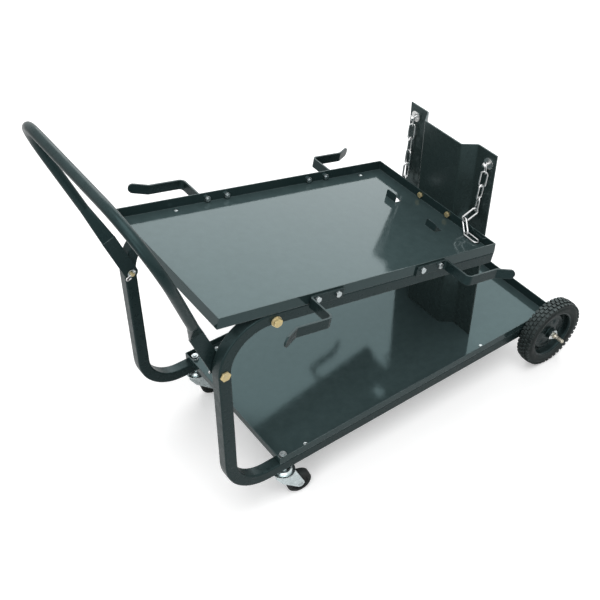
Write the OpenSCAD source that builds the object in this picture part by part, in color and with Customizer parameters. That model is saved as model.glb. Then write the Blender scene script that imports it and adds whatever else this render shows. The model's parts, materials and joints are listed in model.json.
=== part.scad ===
// Welding cart: two bent square tube side frames carry a sloping upper tray and a level lower tray.
// The X axis runs from the push handle to the rear wheels, Y across the cart and Z up from the floor.
// Every piece is drawn with X counted from the uprights, then moved so that the origin is mid length.

/* [Side frames] */
// Width across the outer faces of the two side frames
frame_w = 432; // [400:1:470]
// Side of the square tube
tube_w = 30; // [28:0.5:32]
// Wall of the square tube
tube_wall = 1.8; // [1.2:0.1:2.4]
// Outer corner radius of the square tube
tube_round = 3.5; // [2.8:0.1:5]
// Radius of both bends at the middle of the tube
bend_r = 100; // [90:1:108]
// Length of the upright between its two bends
post_l = 287; // [270:1:310]
// Fall of the upper rails towards the wheels, in degrees
slope = 12.57; // [11:0.01:14]
// Distance of the upper rails' ends behind the end of the upper tray
upper_setback = 1; // [0.5:0.5:4]
// Distance of the lower rails' ends behind the end of the lower tray
lower_setback = 4.6; // [3.6:0.2:8]

/* [Trays] */
// Thickness of the tray sheet
sheet = 2; // [1.5:0.1:2.5]
// Length of the upper tray along its lips
upper_tray_l = 781; // [765:1:800]
// Height of the upper tray's lips with its floor
upper_lip = 26.4; // [24:0.2:30]
// Length of the upper tray ahead of the point where the bend ends
upper_lead = 139.5; // [130:0.5:145]
// Length of the lower tray
lower_tray_l = 897.6; // [885:0.2:910]
// Gap from the lower bend to the lower tray
lower_lead = 29; // [22:0.5:36]
// Height of the lower tray's side lips with its floor
lower_lip = 19.4; // [17:0.2:24]
// Height of the lower tray's lip at the wheels
lower_end_lip = 30; // [26:0.5:36]
// Width of the two stop tabs cut from the upper tray's floor
tab_w = 35; // [30:1:40]
// Height of the two stop tabs
tab_h = 22; // [18:0.5:25]
// Distance of each stop tab's middle from the cart's middle
tab_y = 75; // [60:1:90]
// Distance from the stop tabs to the end of the upper tray
tab_setback = 79; // [70:1:90]
// Corner radius of the stop tabs
tab_round = 5; // [3:0.5:8]

/* [Handle] */
// Length from the pivot pins to the middle of the crossbar
handle_l = 480; // [460:1:496]
// Outer diameter of the handle tube
handle_d = 22; // [20:0.5:25]
// Wall of the handle tube
handle_wall = 1.5; // [1:0.1:2]
// Lean of the handle from upright, in degrees
handle_lean = 20; // [16:0.5:26]
// Splay of each leg, in degrees
handle_splay = 12; // [9:0.5:13]
// Radius of the crossbar's two corners
handle_corner = 125; // [110:1:135]
// Width of the flattened ends
flat_w = 33; // [31:0.5:35]
// Thickness of the flattened ends
flat_t = 4; // [3:0.5:5]
// Length of the flattened ends above the pins
flat_l = 120; // [110:1:130]
// Length over which each leg turns from flat to round
flatten_l = 80; // [65:1:90]
// Diameter of the pivot pins
pin_d = 10; // [8:0.5:12]
// Height of the pivot pins above the top of the uprights
pin_rise = 6.4; // [4:0.2:10]
// Diameter of the pivot pins' heads
pin_head_d = 25; // [22:0.5:27]

/* [Gas bottle plate] */
// Height of the plate
plate_h = 565; // [550:1:590]
// Thickness of the plate
plate_t = 3; // [2.5:0.5:4]
// Depth of the plate's recess
plate_depth = 32; // [30:0.5:36]
// Width of the plate's recess across its floor
web_w = 128; // [122:1:136]
// Width of the recess between the two wings
mouth_w = 178; // [170:1:184]
// Width over both wings
plate_w = 300; // [290:1:320]
// Inner bend radius of the plate
plate_bend = 3; // [2:0.5:4]
// Depth of the plate's foot
foot_l = 22; // [20:0.5:24]
// Distance of each chain stud from the cart's middle
stud_y = 128.6; // [122:0.2:134]
// Diameter of the chain studs' discs
stud_disc_d = 28; // [24:0.5:32]

/* [Chains] */
// Diameter of the chain wire
link_wire = 4.6; // [4.2:0.1:4.8]
// Outer length of a link
link_l = 47; // [46:0.5:49]
// Outer width of a link
link_w = 20; // [19.5:0.1:20.5]
// Turn of each link against the one before, in degrees
link_turn = 75; // [70:1:90]

/* [Cable hooks] */
// Height of the hooks' flat bar
hook_h = 24; // [22:0.5:26]
// Thickness of the hooks' flat bar
hook_t = 4.5; // [4:0.1:6]
// Reach of the hooks out from the tray
hook_reach = 76; // [65:1:85]
// Length of the hooks' arms
hook_arm = 132; // [115:1:145]
// Length of the flared stretch at the hooks' tips
hook_flare_l = 48; // [40:1:55]
// Flare of the hooks' tips, in degrees
hook_flare = 28; // [20:1:35]
// Outer bend radius of the hooks
hook_bend = 9; // [7:0.5:12]
// Distance between the two bolts of a hook
hook_pitch = 54.5; // [50:0.5:60]
// Distance from the first bolts to the handle end of the upper tray
front_hook_u = 242; // [230:1:250]
// Distance from the last bolts to the wheel end of the upper tray
rear_hook_end = 185; // [170:1:200]

/* [Casters] */
// Radius of the caster wheels
caster_r = 32; // [29:0.5:34]
// Width of the caster wheels
caster_w = 22; // [20:0.5:26]
// Trail of the caster wheels behind their stems
caster_trail = 39.4; // [34:0.2:42]
// Distance from the uprights to the caster stems
caster_x = 147.6; // [145:0.2:160]
// Turn of the casters seen from above, in degrees
caster_turn = -8.6; // [-30:0.1:30]
// Diameter of the caster stems
stem_d = 10; // [8:0.5:12]
// Radius of the yokes' round crowns
crown_r = 29; // [27:0.5:32]
// Thickness of the yokes' sheet
yoke_t = 2.5; // [2:0.1:3]
// Height of the ball race between the yoke's crown and the rail
race_h = 17; // [15:0.5:20]

/* [Rear wheels] */
// Radius of the tyres
tyre_r = 101.6; // [97:0.2:106]
// Width of the tyres
tyre_w = 43.4; // [40:0.2:47]
// Depth of the tread
tread_h = 5; // [3.5:0.5:6]
// Number of blocks in each row of the tread
blocks = 44; // [32:4:48]
// Radius of the rims where the tyres sit
rim_r = 70; // [66:0.5:73]
// Diameter of the axle
axle_d = 16; // [14:0.5:18]
// Distance from the axle to the ends of the lower rails
axle_setback = 12.7; // [12:0.1:20]
// Gap between the side frames and the rear wheels
wheel_gap = 2.3; // [1.5:0.1:5]

/* [Fasteners] */
// Diameter of the hook bolts, plate bolts and foot bolts
bolt_d = 8; // [6:0.5:8]
// Diameter of the upper cross bolts
cross_bolt_d = 12; // [10:0.5:12]
// Diameter of the tray screws
screw_d = 5; // [4:0.5:6]

/* [Hidden] */
$fn = 64;

// One overrun serves all cuts
cut = 1;
// Running gap between pieces of different bodies
run_gap = 0.3;
// Radial play of a fastener, pin or axle in its hole
fit_gap = 0.1;
// A shape's thickness where only its outline counts
thin = 0.01;
// Straight tubes run this far into their bends
lap = 0.4;
// Bending stretches a tube's wall, which loses this much on each face
stretch = 0.08;

// Heights and places that the frames give
rail_y = frame_w / 2 - tube_w / 2;
inner_y = frame_w / 2 - tube_w;
axle_r = axle_d / 2;
rail_z = tyre_r + axle_r + fit_gap / 2;
rail_top = rail_z + tube_w;
lower_bend_z = rail_z + tube_w / 2 + bend_r;
upper_bend_z = lower_bend_z + post_l;
pin_z = upper_bend_z + pin_rise;

// The upper tray's own frame: its X axis runs down the slope, from the underside of its floor
bend_end_x = bend_r + (bend_r + tube_w / 2) * sin(slope);
bend_end_z = upper_bend_z + (bend_r + tube_w / 2) * cos(slope);
tray_x = bend_end_x - upper_lead * cos(slope);
tray_z = bend_end_z + upper_lead * sin(slope);
lip_x = tray_x + upper_tray_l * cos(slope) + upper_lip * sin(slope);
lip_top_z = tray_z - upper_tray_l * sin(slope) + upper_lip * cos(slope);
upper_floor_l = (lip_x - tray_x) / cos(slope);
upper_rail_l = upper_floor_l - upper_setback - upper_lead;
tab_u = upper_tray_l - tab_setback;

// The lower tray and the axle
lower_x = bend_r + lower_lead;
lower_end_x = lower_x + lower_tray_l;
rail_end_x = lower_end_x - lower_setback;
lower_rail_l = rail_end_x - bend_r;
axle_x = rail_end_x - axle_setback;

// The origin lies midway between the crossbar's far side and the tyres' far side
handle_reach = handle_l * sin(handle_lean) + handle_d / 2;
mid_x = (axle_x + tyre_r - handle_reach) / 2;

// Handle
flat_y = inner_y - run_gap - flat_t / 2;
leg_y = flat_y + flat_l * tan(handle_splay);
corner_s = handle_l - handle_corner;
corner_y = leg_y + (corner_s - flat_l) * tan(handle_splay) - handle_corner / cos(handle_splay);
round_s = flat_l + flatten_l;
leg_top_s = corner_s - handle_corner * sin(handle_splay);
leg_top_y = corner_y + handle_corner * cos(handle_splay);
leg_round_l = (leg_top_s - round_s) / cos(handle_splay);
// The pressed transition starts inside the flat end and the round leg, a little smaller than both
flatten_lap = 2;
flatten_step = 0.3;

// Pivot pins
pin_r = pin_d / 2;
pin_head_t = 4.5;
pin_dome = 1.5;
pin_washer_t = 1.5;
pin_washer_rim = 5;
pin_washer_r = pin_r + pin_washer_rim;
pin_tail = 5;
clip_wire = 3;
washer_y = flat_y - flat_t / 2 - run_gap - pin_washer_t;
clip_y = washer_y - clip_wire / 2;
pin_end_y = clip_y - pin_tail;
// The hairpin clips point this far below the handle side, in degrees
clip_turn = 26;
clip_leg_l = 15;
clip_eye_r = 4;

// Upper cross tube and its bolts
cross_r = 11;
cross_wall = 2;
cross_drop = 6;
// The cross bolts sit this far down the slope from the ends of the bends
cross_past = 6.5;
cross_u = upper_lead + cross_past;
cross_n = -tube_w / 2 - cross_drop;
cross_head_af = 19;
cross_head_h = 7.5;
cross_flange_r = 12;
cross_flange_t = 2;
cross_thread_l = 25;

// Hex fasteners
bolt_af = 1.63 * bolt_d;
bolt_head_h = 0.66 * bolt_d;
nut_h = 0.8 * bolt_d;
bolt_past = 2;
washer_t = 1.4;
washer_share = 1.05;
screw_head_r = screw_d;
screw_head_h = 0.55 * screw_d;
screw_below = 6;
// The upper tray's screws, from the handle end of the tray
upper_screw_front = 152;
upper_screw_rear = 75;
// The lower tray's screws, from the handle end and the wheel end of the tray
lower_screw_front = 84;
lower_screw_rear = 241.6;

// Bottle plate
plate_z = rail_top + sheet;
plate_top = plate_z + plate_h;
wing_x = lip_x + plate_depth;
plate_bolt_y = 51;
plate_bolt_z = lip_top_z - upper_lip / 2;
foot_bolt_y = 40;
foot_w = web_w - 4 * plate_t;

// Chain studs: a disc on the wing, and a neck that holds the snap link behind a head
neck_r = 3;
neck_l = 13;
disc_t = 2.5;
stud_head_r = 7;
stud_head_h = 3.5;
stud_nut_af = 10;
stud_nut_h = 5;
snap_wire = 3;
snap_in_w = 11;
snap_in_l = 26;
snap_x = wing_x - disc_t - neck_l / 2;
link_play = 0.4;
link_pitch = link_l - 2 * link_wire - link_play;

// The near chain hangs down to its third joint, crosses the lip and lies in the tray
// Its last four joints are placed from the lip in shares of the link pitch, the last two above the tray's floor
crossing_shares = [0.518, 0.19, 0.872];
lip_shares = [-0.137, 0.457, 0.273];
floor_shares = [[-0.448, -0.156, 0.203], [-0.389, -1.091, 0.123]];
taut_share = 0.992;
function tray_floor_z(x) = tray_z + sheet / cos(slope) - (x - tray_x) * tan(slope);
crossing = [lip_x, 0, lip_top_z] + link_pitch * crossing_shares;
hang_l = 3 * link_pitch * taut_share;
hang_drop = sqrt(pow(hang_l, 2) - pow(snap_x - crossing[0], 2) - pow(crossing[1], 2));
first_joint = [snap_x, 0, crossing[2] + hang_drop];
near_joints = concat([for (i = [0:3]) first_joint + i / 3 * (crossing - first_joint)],
    [[lip_x, 0, lip_top_z] + link_pitch * lip_shares],
    [for (p = floor_shares) [lip_x, 0, tray_floor_z(lip_x + p[0] * link_pitch)] + link_pitch * p]);
near_rolls = [-60, 2, 61, 141, 80, 190];

// The far chain hangs free and leans a little; each link is turned against the one before
lean_share = 0.07;
far_count = 6;
first_roll = -60;
far_joints = [for (i = [0:far_count]) first_joint + i * link_pitch * unit([-lean_share, 0, -1])];
far_rolls = [for (i = [0:far_count - 1]) first_roll + i * link_turn];

// The studs' height follows from the chain's length
snap_top = first_joint[2] + snap_in_l - link_play / 2;
snap_z = snap_top - snap_in_l / 2;
snap_roll = 55;
stud_z = snap_top - neck_r - fit_gap;

// Cable hooks, in the upper tray's frame
rear_hook_u = upper_tray_l - rear_hook_end;
hook_n = 9.4;
hook_bolt_n = 11.4;
hook_base_end = 16;
hook_lead = 21;

// Casters
stem_r = stem_d / 2;
crown_z = rail_z - race_h;
fork_gap = 1;
yoke_y = caster_w / 2 + fork_gap;
yoke_axle_r = 11;
heel_drop = 35;
rivet_r = 4;
rivet_head_r = 7;
rivet_head_h = 2;
stem_head_r = 9;
stem_head_h = 3.5;
race_r = 22;
race_cup_h = 6;
spacer_r = 9.5;
race_slant = 4;
stem_nut_af = 17;
stem_nut_h = 8;
stem_washer_r = 10.5;
stem_washer_t = 1.8;
stem_past = 3;
caster_hub_r = 10;
caster_hub_past = 0.7;
caster_edge = 3;
caster_dish = 2.5;
caster_dish_r = 22;

// Rear wheels, counted outwards along Y from the wheel's inner side
wheel_y = frame_w / 2 + wheel_gap;
wheel_mid = wheel_y + tyre_w / 2;
hub_r = 15;
hub_in = 1;
hub_out = 5;
rim_wall = 3;
rim_lip = 4;
dish_out = 4;
rim_holes = 5;
rim_hole_r = 9;
wheel_washer_r = 14;
wheel_washer_t = 2;
split_wire = 3;
split_eye_r = 3.6;
axle_past = 4.5;
row_gap = 2.4;
rows = 4;
shoulder_drop = 2.6;
// Each block's share of its pitch
block_share = 0.62;
// The tyre's cross-section: shares of its height above the rim, and shares of half its width
rim_half_share = 0.78;
tyre_section_shares = [[0, rim_half_share], [0.3, 0.97], [0.55, 1], [0.8, 0.9], [0.94, 0.68], [1, 0.4]];

// Axle saddles
saddle_t = 3;
saddle_w = 24;
saddle_step = 0.3;
// The saddle's mouth under the rail: a share of the axle's radius
mouth_share = 0.7;

// Plugs in the open ends of the lower rails
plug_t = 3;
plug_l = 14;

// Steps of every rounded bend that is drawn as an outline
bend_steps = 6;

// Outline helpers
function unit(v) = v / norm(v);
function side(v) = [-v[1], v[0]];
function turned(v, a) = [v[0] * cos(a) - v[1] * sin(a), v[0] * sin(a) + v[1] * cos(a)];
function fillet(a, p, b, r) =
    let (u = unit(a - p), v = unit(b - p), half = acos(u * v) / 2, d = r / tan(half))
    let (hub = p + unit(u + v) * r / sin(half), way = u[0] * v[1] - u[1] * v[0] > 0 ? -1 : 1)
    [for (i = [0:bend_steps]) hub + turned(p + u * d - hub, way * i * (180 - 2 * half) / bend_steps)];
function rounded(path, r) = concat([path[0]],
    [for (i = [1:len(path) - 2]) each fillet(path[i - 1], path[i], path[i + 1], r)],
    [path[len(path) - 1]]);
function normal_at(path, i) =
    let (before = side(unit(path[max(i, 1)] - path[max(i, 1) - 1])))
    let (after = side(unit(path[min(i, len(path) - 2) + 1] - path[min(i, len(path) - 2)])))
    unit(before + after) / (unit(before + after) * before);
function shifted(path, d) = [for (i = [0:len(path) - 1]) path[i] + normal_at(path, i) * d];
function backwards(path) = [for (i = [len(path) - 1:-1:0]) path[i]];

// A strip of thickness t whose left face follows the path
module strip(path, t) {
    polygon(concat(path, backwards(shifted(path, -t))));
}

// Placing helpers
module placed() {
    translate([-mid_x, 0, 0])
    children();
}

module both_sides() {
    children();
    mirror([0, 1, 0])
    children();
}

module in_tray() {
    translate([tray_x, 0, tray_z])
    rotate([0, slope, 0])
    children();
}

// A cylinder along X, Y or Z that starts at its children's place
module rod_x(r, l) {
    rotate([0, 90, 0])
    cylinder(r = r, h = l);
}

module rod_y(r, l) {
    rotate([-90, 0, 0])
    cylinder(r = r, h = l);
}

// A hexagonal prism and a plain washer, both standing up along Z
module hexagon(af, h) {
    rotate([0, 0, 30])
    cylinder(d = af / cos(30), h = h, $fn = 6);
}

module ring(outer, inner, h) {
    difference() {
        cylinder(r = outer, h = h);
        translate([0, 0, -cut])
        cylinder(r = inner, h = h + 2 * cut);
    }
}

// A nut with its seat at zero
module nut(d, af, h) {
    difference() {
        intersection() {
            hexagon(af, h);
            cylinder(r1 = af / 2 + h, r2 = af / 2 * washer_share, h = h);
        }
        translate([0, 0, -cut])
        cylinder(r = d / 2 + fit_gap, h = h + 2 * cut);
    }
}

// A bolt whose head stands up from zero and whose shank hangs below it
module bolt(d, af, head_h, l) {
    intersection() {
        hexagon(af, head_h);
        cylinder(r1 = af / 2 + head_h, r2 = af / 2 * washer_share, h = head_h);
    }
    translate([0, 0, -l])
    cylinder(r = d / 2, h = l + thin);
}

// Square tube
module rounded_square(w, r) {
    square([w, w - 2 * r], center = true);
    square([w - 2 * r, w], center = true);
    for (x = [-1, 1], y = [-1, 1]) {
        translate([x * (w / 2 - r), y * (w / 2 - r)])
        circle(r = r);
    }
}

module tube_section(loss = 0) {
    difference() {
        rounded_square(tube_w - 2 * loss, tube_round);
        rounded_square(tube_w - 2 * tube_wall + 2 * loss, tube_round - tube_wall);
    }
}

module tube_x(l) {
    rotate([0, 90, 0])
    linear_extrude(l)
    tube_section();
}

// A bend of the square tube in the XZ plane, from angle a over a sweep
module tube_bend(a, sweep) {
    rotate([90, 0, 0])
    rotate([0, 0, a])
    rotate_extrude(angle = sweep)
    translate([bend_r, 0])
    tube_section(stretch);
}

// One bent side frame on the far side, with the holes for everything that passes through it
module side_frame() {
    difference() {
        translate([0, rail_y, 0]) {
            translate([bend_r - lap, 0, rail_z + tube_w / 2])
            tube_x(lower_rail_l + lap);
            translate([bend_r, 0, lower_bend_z])
            tube_bend(180, 90);
            translate([0, 0, lower_bend_z - lap])
            linear_extrude(post_l + 2 * lap)
            tube_section();
            translate([bend_r, 0, upper_bend_z])
            tube_bend(90 - slope, 90 + slope);
            in_tray()
            translate([upper_lead - lap, 0, -tube_w / 2])
            tube_x(upper_rail_l + lap);
        }
        translate([0, inner_y - cut, pin_z])
        rod_y(pin_r + fit_gap, tube_w + 2 * cut);
        in_tray()
        translate([cross_u, inner_y - cut, cross_n])
        rod_y(cross_bolt_d / 2 + fit_gap, tube_w + 2 * cut);
        translate([caster_x, rail_y, rail_z - cut])
        cylinder(r = stem_r + fit_gap, h = tube_w + 2 * cut);
        for (x = [lower_x + lower_screw_front, lower_end_x - lower_screw_rear]) {
            translate([x, rail_y, rail_top - screw_below])
            cylinder(r = screw_d / 2 + fit_gap, h = screw_below + cut);
        }
        in_tray()
        for (u = [upper_screw_front, upper_tray_l - upper_screw_rear]) {
            translate([u, rail_y, -screw_below])
            cylinder(r = screw_d / 2 + fit_gap, h = screw_below + cut);
        }
    }
}

module side_frame_far() {
    color("#2b3a3a")
    placed()
    side_frame();
}

module side_frame_near() {
    color("#2b3a3a")
    placed()
    mirror([0, 1, 0])
    side_frame();
}

// Plugs that close the open ends of the lower rails
module rail_plugs() {
    color("#151717")
    placed()
    both_sides()
    translate([rail_end_x, rail_y, rail_z + tube_w / 2])
    rotate([0, 90, 0]) {
        linear_extrude(plug_t)
        rounded_square(tube_w, tube_round);
        translate([0, 0, -plug_l])
        linear_extrude(plug_l + thin)
        rounded_square(tube_w - 2 * tube_wall - 2 * fit_gap, tube_round - tube_wall);
    }
}

// The hidden round tube that ties the upper bends
module cross_tube() {
    color("#2b3a3a")
    placed()
    in_tray()
    translate([cross_u, -inner_y, cross_n])
    difference() {
        rod_y(cross_r, 2 * inner_y);
        translate([0, cross_thread_l + cut, 0])
        rod_y(cross_r - cross_wall, 2 * inner_y - 2 * cross_thread_l - 2 * cut);
        translate([0, -cut, 0])
        rod_y(cross_bolt_d / 2 + fit_gap, cross_thread_l + 3 * cut);
        translate([0, 2 * inner_y - cross_thread_l - 2 * cut, 0])
        rod_y(cross_bolt_d / 2 + fit_gap, cross_thread_l + 3 * cut);
    }
}

module cross_bolts() {
    color("#c8a24a")
    placed()
    both_sides()
    in_tray()
    translate([cross_u, frame_w / 2, cross_n])
    rotate([-90, 0, 0]) {
        cylinder(r = cross_flange_r, h = cross_flange_t);
        translate([0, 0, cross_flange_t])
        bolt(cross_bolt_d, cross_head_af, cross_head_h, cross_flange_t + tube_w + cross_thread_l);
    }
}

// Side view of the upper tray's outer or inner form, in the tray's frame
module tray_side(inset, top) {
    polygon([[inset, inset],
        [(lip_x - inset - tray_x - inset * sin(slope)) / cos(slope), inset],
        [(lip_x - inset - tray_x - top * sin(slope)) / cos(slope), top],
        [inset, top]]);
}

module tray_tab() {
    translate([0, -tab_w / 2, 0])
    rotate([90, 0, 90])
    linear_extrude(sheet) {
        square([tab_w, tab_h - tab_round]);
        translate([tab_round, 0])
        square([tab_w - 2 * tab_round, tab_h]);
        for (x = [tab_round, tab_w - tab_round]) {
            translate([x, tab_h - tab_round])
            circle(r = tab_round);
        }
    }
}

module upper_tray() {
    color("#3a4a4b")
    placed()
    difference() {
        in_tray() {
            difference() {
                translate([0, frame_w / 2, 0])
                rotate([90, 0, 0])
                linear_extrude(frame_w)
                tray_side(0, upper_lip);
                translate([0, frame_w / 2 - sheet, 0])
                rotate([90, 0, 0])
                linear_extrude(frame_w - 2 * sheet)
                tray_side(sheet, upper_lip + cut);
                for (s = [-1, 1]) {
                    translate([tab_u + sheet, s * tab_y - tab_w / 2, -cut])
                    cube([tab_h, tab_w, sheet + 2 * cut]);
                }
            }
            for (s = [-1, 1]) {
                translate([tab_u, s * tab_y, 0])
                tray_tab();
            }
        }
        in_tray()
        for (s = [-1, 1]) {
            for (u = [upper_screw_front, upper_tray_l - upper_screw_rear]) {
                translate([u, s * rail_y, -cut])
                cylinder(r = screw_d / 2 + fit_gap, h = sheet + 2 * cut);
            }
            for (u = hook_bolt_places()) {
                translate([u, s * frame_w / 2 - sheet - cut, hook_bolt_n])
                rod_y(bolt_d / 2 + fit_gap, 2 * sheet + 2 * cut);
            }
        }
        for (s = [-1, 1]) {
            translate([lip_x - sheet - cut, s * plate_bolt_y, plate_bolt_z])
            rod_x(bolt_d / 2 + fit_gap, sheet + 2 * cut);
        }
    }
}

module lower_tray() {
    color("#3a4a4b")
    placed()
    difference() {
        translate([lower_x, -frame_w / 2, rail_top])
        cube([lower_tray_l, frame_w, lower_end_lip]);
        translate([lower_x + sheet, -frame_w / 2 + sheet, rail_top + sheet])
        cube([lower_tray_l - 2 * sheet, frame_w - 2 * sheet, lower_end_lip]);
        translate([lower_x - cut, -frame_w / 2 - cut, rail_top + lower_lip])
        cube([lower_tray_l - sheet + cut, frame_w + 2 * cut, lower_end_lip]);
        for (s = [-1, 1]) {
            for (x = [lower_x + lower_screw_front, lower_end_x - lower_screw_rear]) {
                translate([x, s * rail_y, rail_top - cut])
                cylinder(r = screw_d / 2 + fit_gap, h = sheet + 2 * cut);
            }
            translate([caster_x, s * rail_y, rail_top - cut])
            cylinder(r = stem_r + fit_gap, h = sheet + 2 * cut);
            translate([lip_x + plate_t + foot_l / 2, s * foot_bolt_y, rail_top - cut])
            cylinder(r = bolt_d / 2 + fit_gap, h = sheet + 2 * cut);
        }
    }
}

// A round headed screw standing on zero
module screw() {
    intersection() {
        cylinder(r = screw_head_r, h = screw_head_h);
        translate([0, 0, screw_head_h - 2 * screw_head_r])
        sphere(r = 2 * screw_head_r);
    }
    translate([0, 0, -sheet - screw_below])
    cylinder(r = screw_d / 2, h = sheet + screw_below + thin);
}

module tray_screws() {
    color("#9aa3a3")
    placed()
    both_sides() {
        for (x = [lower_x + lower_screw_front, lower_end_x - lower_screw_rear]) {
            translate([x, rail_y, rail_top + sheet])
            screw();
        }
        in_tray()
        for (u = [upper_screw_front, upper_tray_l - upper_screw_rear]) {
            translate([u, rail_y, sheet])
            screw();
        }
    }
}

// Round tube of the handle
module handle_section(loss = 0) {
    difference() {
        circle(d = handle_d - 2 * loss);
        circle(d = handle_d - 2 * handle_wall + 2 * loss);
    }
}

// One side of the handle: a corner and a leg that is pressed flat at its end
module handle_side() {
    translate([0, corner_y, corner_s])
    rotate([90, 0, 90])
    rotate([0, 0, -handle_splay])
    rotate_extrude(angle = 90 + handle_splay)
    translate([handle_corner, 0])
    handle_section(stretch);
    translate([0, leg_top_y, leg_top_s])
    rotate([180 - handle_splay, 0, 0])
    translate([0, 0, -lap])
    linear_extrude(leg_round_l + lap + flatten_lap)
    handle_section();
    hull() {
        translate([0, leg_top_y - leg_round_l * sin(handle_splay), round_s])
        rotate([-handle_splay, 0, 0])
        cylinder(d = handle_d - 2 * flatten_step, h = thin, $fn = 32);
        translate([-flat_w / 2 + flatten_step, flat_y - flat_t / 2 + flatten_step, flat_l - flatten_lap])
        cube([flat_w - 2 * flatten_step, flat_t - 2 * flatten_step, thin]);
    }
    difference() {
        union() {
            translate([-flat_w / 2, flat_y - flat_t / 2, 0])
            cube([flat_w, flat_t, flat_l]);
            translate([0, flat_y - flat_t / 2, 0])
            rod_y(flat_w / 2, flat_t);
        }
        translate([0, flat_y - flat_t / 2 - cut, 0])
        rod_y(pin_r + fit_gap, flat_t + 2 * cut);
    }
}

module handle() {
    color("#2b3a3a")
    placed()
    translate([0, 0, pin_z])
    rotate([0, -handle_lean, 0]) {
        translate([0, -corner_y - lap, handle_l])
        rotate([-90, 0, 0])
        linear_extrude(2 * corner_y + 2 * lap)
        handle_section();
        both_sides()
        handle_side();
    }
}

// Clevis pins with domed heads on the outer faces of the uprights
module pivot_pins() {
    color("#c8a24a")
    placed()
    both_sides()
    translate([0, 0, pin_z])
    difference() {
        union() {
            translate([0, pin_end_y, 0])
            rod_y(pin_r, frame_w / 2 - pin_end_y + thin);
            translate([0, frame_w / 2, 0])
            rod_y(pin_head_d / 2, pin_head_t - pin_dome);
            translate([0, frame_w / 2 + pin_head_t - pin_dome, 0])
            rotate([-90, 0, 0])
            cylinder(r1 = pin_head_d / 2, r2 = pin_head_d / 2 - 2 * pin_dome, h = pin_dome);
        }
        rotate([0, 180 - clip_turn, 0])
        translate([-2 * pin_r, clip_y, 0])
        rod_x(clip_wire / 2 + fit_gap, 4 * pin_r);
    }
}

module pivot_washers() {
    color("#9aa3a3")
    placed()
    both_sides()
    translate([0, washer_y, pin_z])
    rotate([-90, 0, 0])
    ring(pin_washer_r, pin_r + fit_gap, pin_washer_t);
}

// Hairpin clips: one leg through the pin, an eye, and a second leg bent round the outside of the pin
module hairpin_clips() {
    color("#b9c0c0")
    placed()
    both_sides()
    translate([0, clip_y, pin_z])
    rotate([0, 180 - clip_turn, 0]) {
        translate([-2 * pin_r, 0, 0])
        rod_x(clip_wire / 2, 2 * pin_r + clip_leg_l);
        translate([clip_leg_l, 0, clip_eye_r])
        rotate([90, 0, 0])
        rotate([0, 0, -90])
        rotate_extrude(angle = 180)
        translate([clip_eye_r, 0])
        circle(d = clip_wire);
        translate([pin_r + clip_wire, 0, 2 * clip_eye_r])
        rod_x(clip_wire / 2, clip_leg_l - pin_r - clip_wire + thin);
    }
}

// Plan of the bottle plate: a hat section whose floor rests on the tray's lip
plate_path = rounded([[plate_depth, plate_w / 2], [plate_depth, mouth_w / 2], [0, web_w / 2],
    [0, -web_w / 2], [plate_depth, -mouth_w / 2], [plate_depth, -plate_w / 2]], plate_bend + plate_t);

module bottle_plate() {
    color("#26302f")
    placed()
    difference() {
        translate([lip_x, 0, plate_z]) {
            linear_extrude(plate_h)
            strip(backwards(plate_path), plate_t);
            translate([plate_t - thin, -foot_w / 2, 0])
            cube([foot_l, foot_w, plate_t]);
        }
        for (s = [-1, 1]) {
            translate([lip_x - cut, s * plate_bolt_y, plate_bolt_z])
            rod_x(bolt_d / 2 + fit_gap, plate_t + 2 * cut);
            translate([wing_x - cut, s * stud_y, stud_z])
            rod_x(neck_r + fit_gap, plate_t + 2 * cut);
            translate([lip_x + plate_t + foot_l / 2, s * foot_bolt_y, plate_z - cut])
            cylinder(r = bolt_d / 2 + fit_gap, h = plate_t + 2 * cut);
        }
    }
}

module plate_bolts() {
    color("#c8a24a")
    placed()
    for (s = [-1, 1]) {
        translate([lip_x - sheet, s * plate_bolt_y, plate_bolt_z])
        rotate([0, -90, 0])
        bolt(bolt_d, bolt_af, bolt_head_h, sheet + plate_t + nut_h + bolt_past);
    }
}

module plate_nuts() {
    color("#c8a24a")
    placed()
    for (s = [-1, 1]) {
        translate([lip_x + plate_t, s * plate_bolt_y, plate_bolt_z])
        rotate([0, 90, 0])
        nut(bolt_d, bolt_af, nut_h);
    }
}

module foot_bolts() {
    color("#9aa3a3")
    placed()
    for (s = [-1, 1]) {
        translate([lip_x + plate_t + foot_l / 2, s * foot_bolt_y, plate_z + plate_t])
        bolt(bolt_d, bolt_af, bolt_head_h, sheet + plate_t + nut_h + bolt_past);
    }
}

module foot_nuts() {
    color("#9aa3a3")
    placed()
    for (s = [-1, 1]) {
        translate([lip_x + plate_t + foot_l / 2, s * foot_bolt_y, rail_top])
        rotate([180, 0, 0])
        nut(bolt_d, bolt_af, nut_h);
    }
}

// Studs on the wings: a nut behind, a disc against the wing, and a headed neck that holds the snap link
module chain_studs() {
    color("#b9c0c0")
    placed()
    for (s = [-1, 1]) {
        translate([wing_x, s * stud_y, stud_z])
        rotate([0, -90, 0]) {
            translate([0, 0, -plate_t - stud_nut_h])
            cylinder(r = neck_r, h = plate_t + stud_nut_h + disc_t + neck_l + thin);
            cylinder(r = stud_disc_d / 2, h = disc_t);
            translate([0, 0, disc_t + neck_l])
            cylinder(r1 = stud_head_r, r2 = stud_head_r / 2, h = stud_head_h);
            translate([0, 0, -plate_t - stud_nut_h])
            hexagon(stud_nut_af, stud_nut_h);
        }
    }
}

// An oval ring of round wire, long in Z and wide in X
module oval_link(l, w, wire) {
    for (s = [-1, 1]) {
        translate([s * (w - wire) / 2, 0, -(l - w) / 2])
        cylinder(d = wire, h = l - w);
        translate([0, 0, s * (l - w) / 2])
        rotate([90, 0, 0])
        rotate([0, 0, s > 0 ? 0 : 180])
        rotate_extrude(angle = 180)
        translate([(w - wire) / 2, 0])
        circle(d = wire);
    }
}

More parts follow.
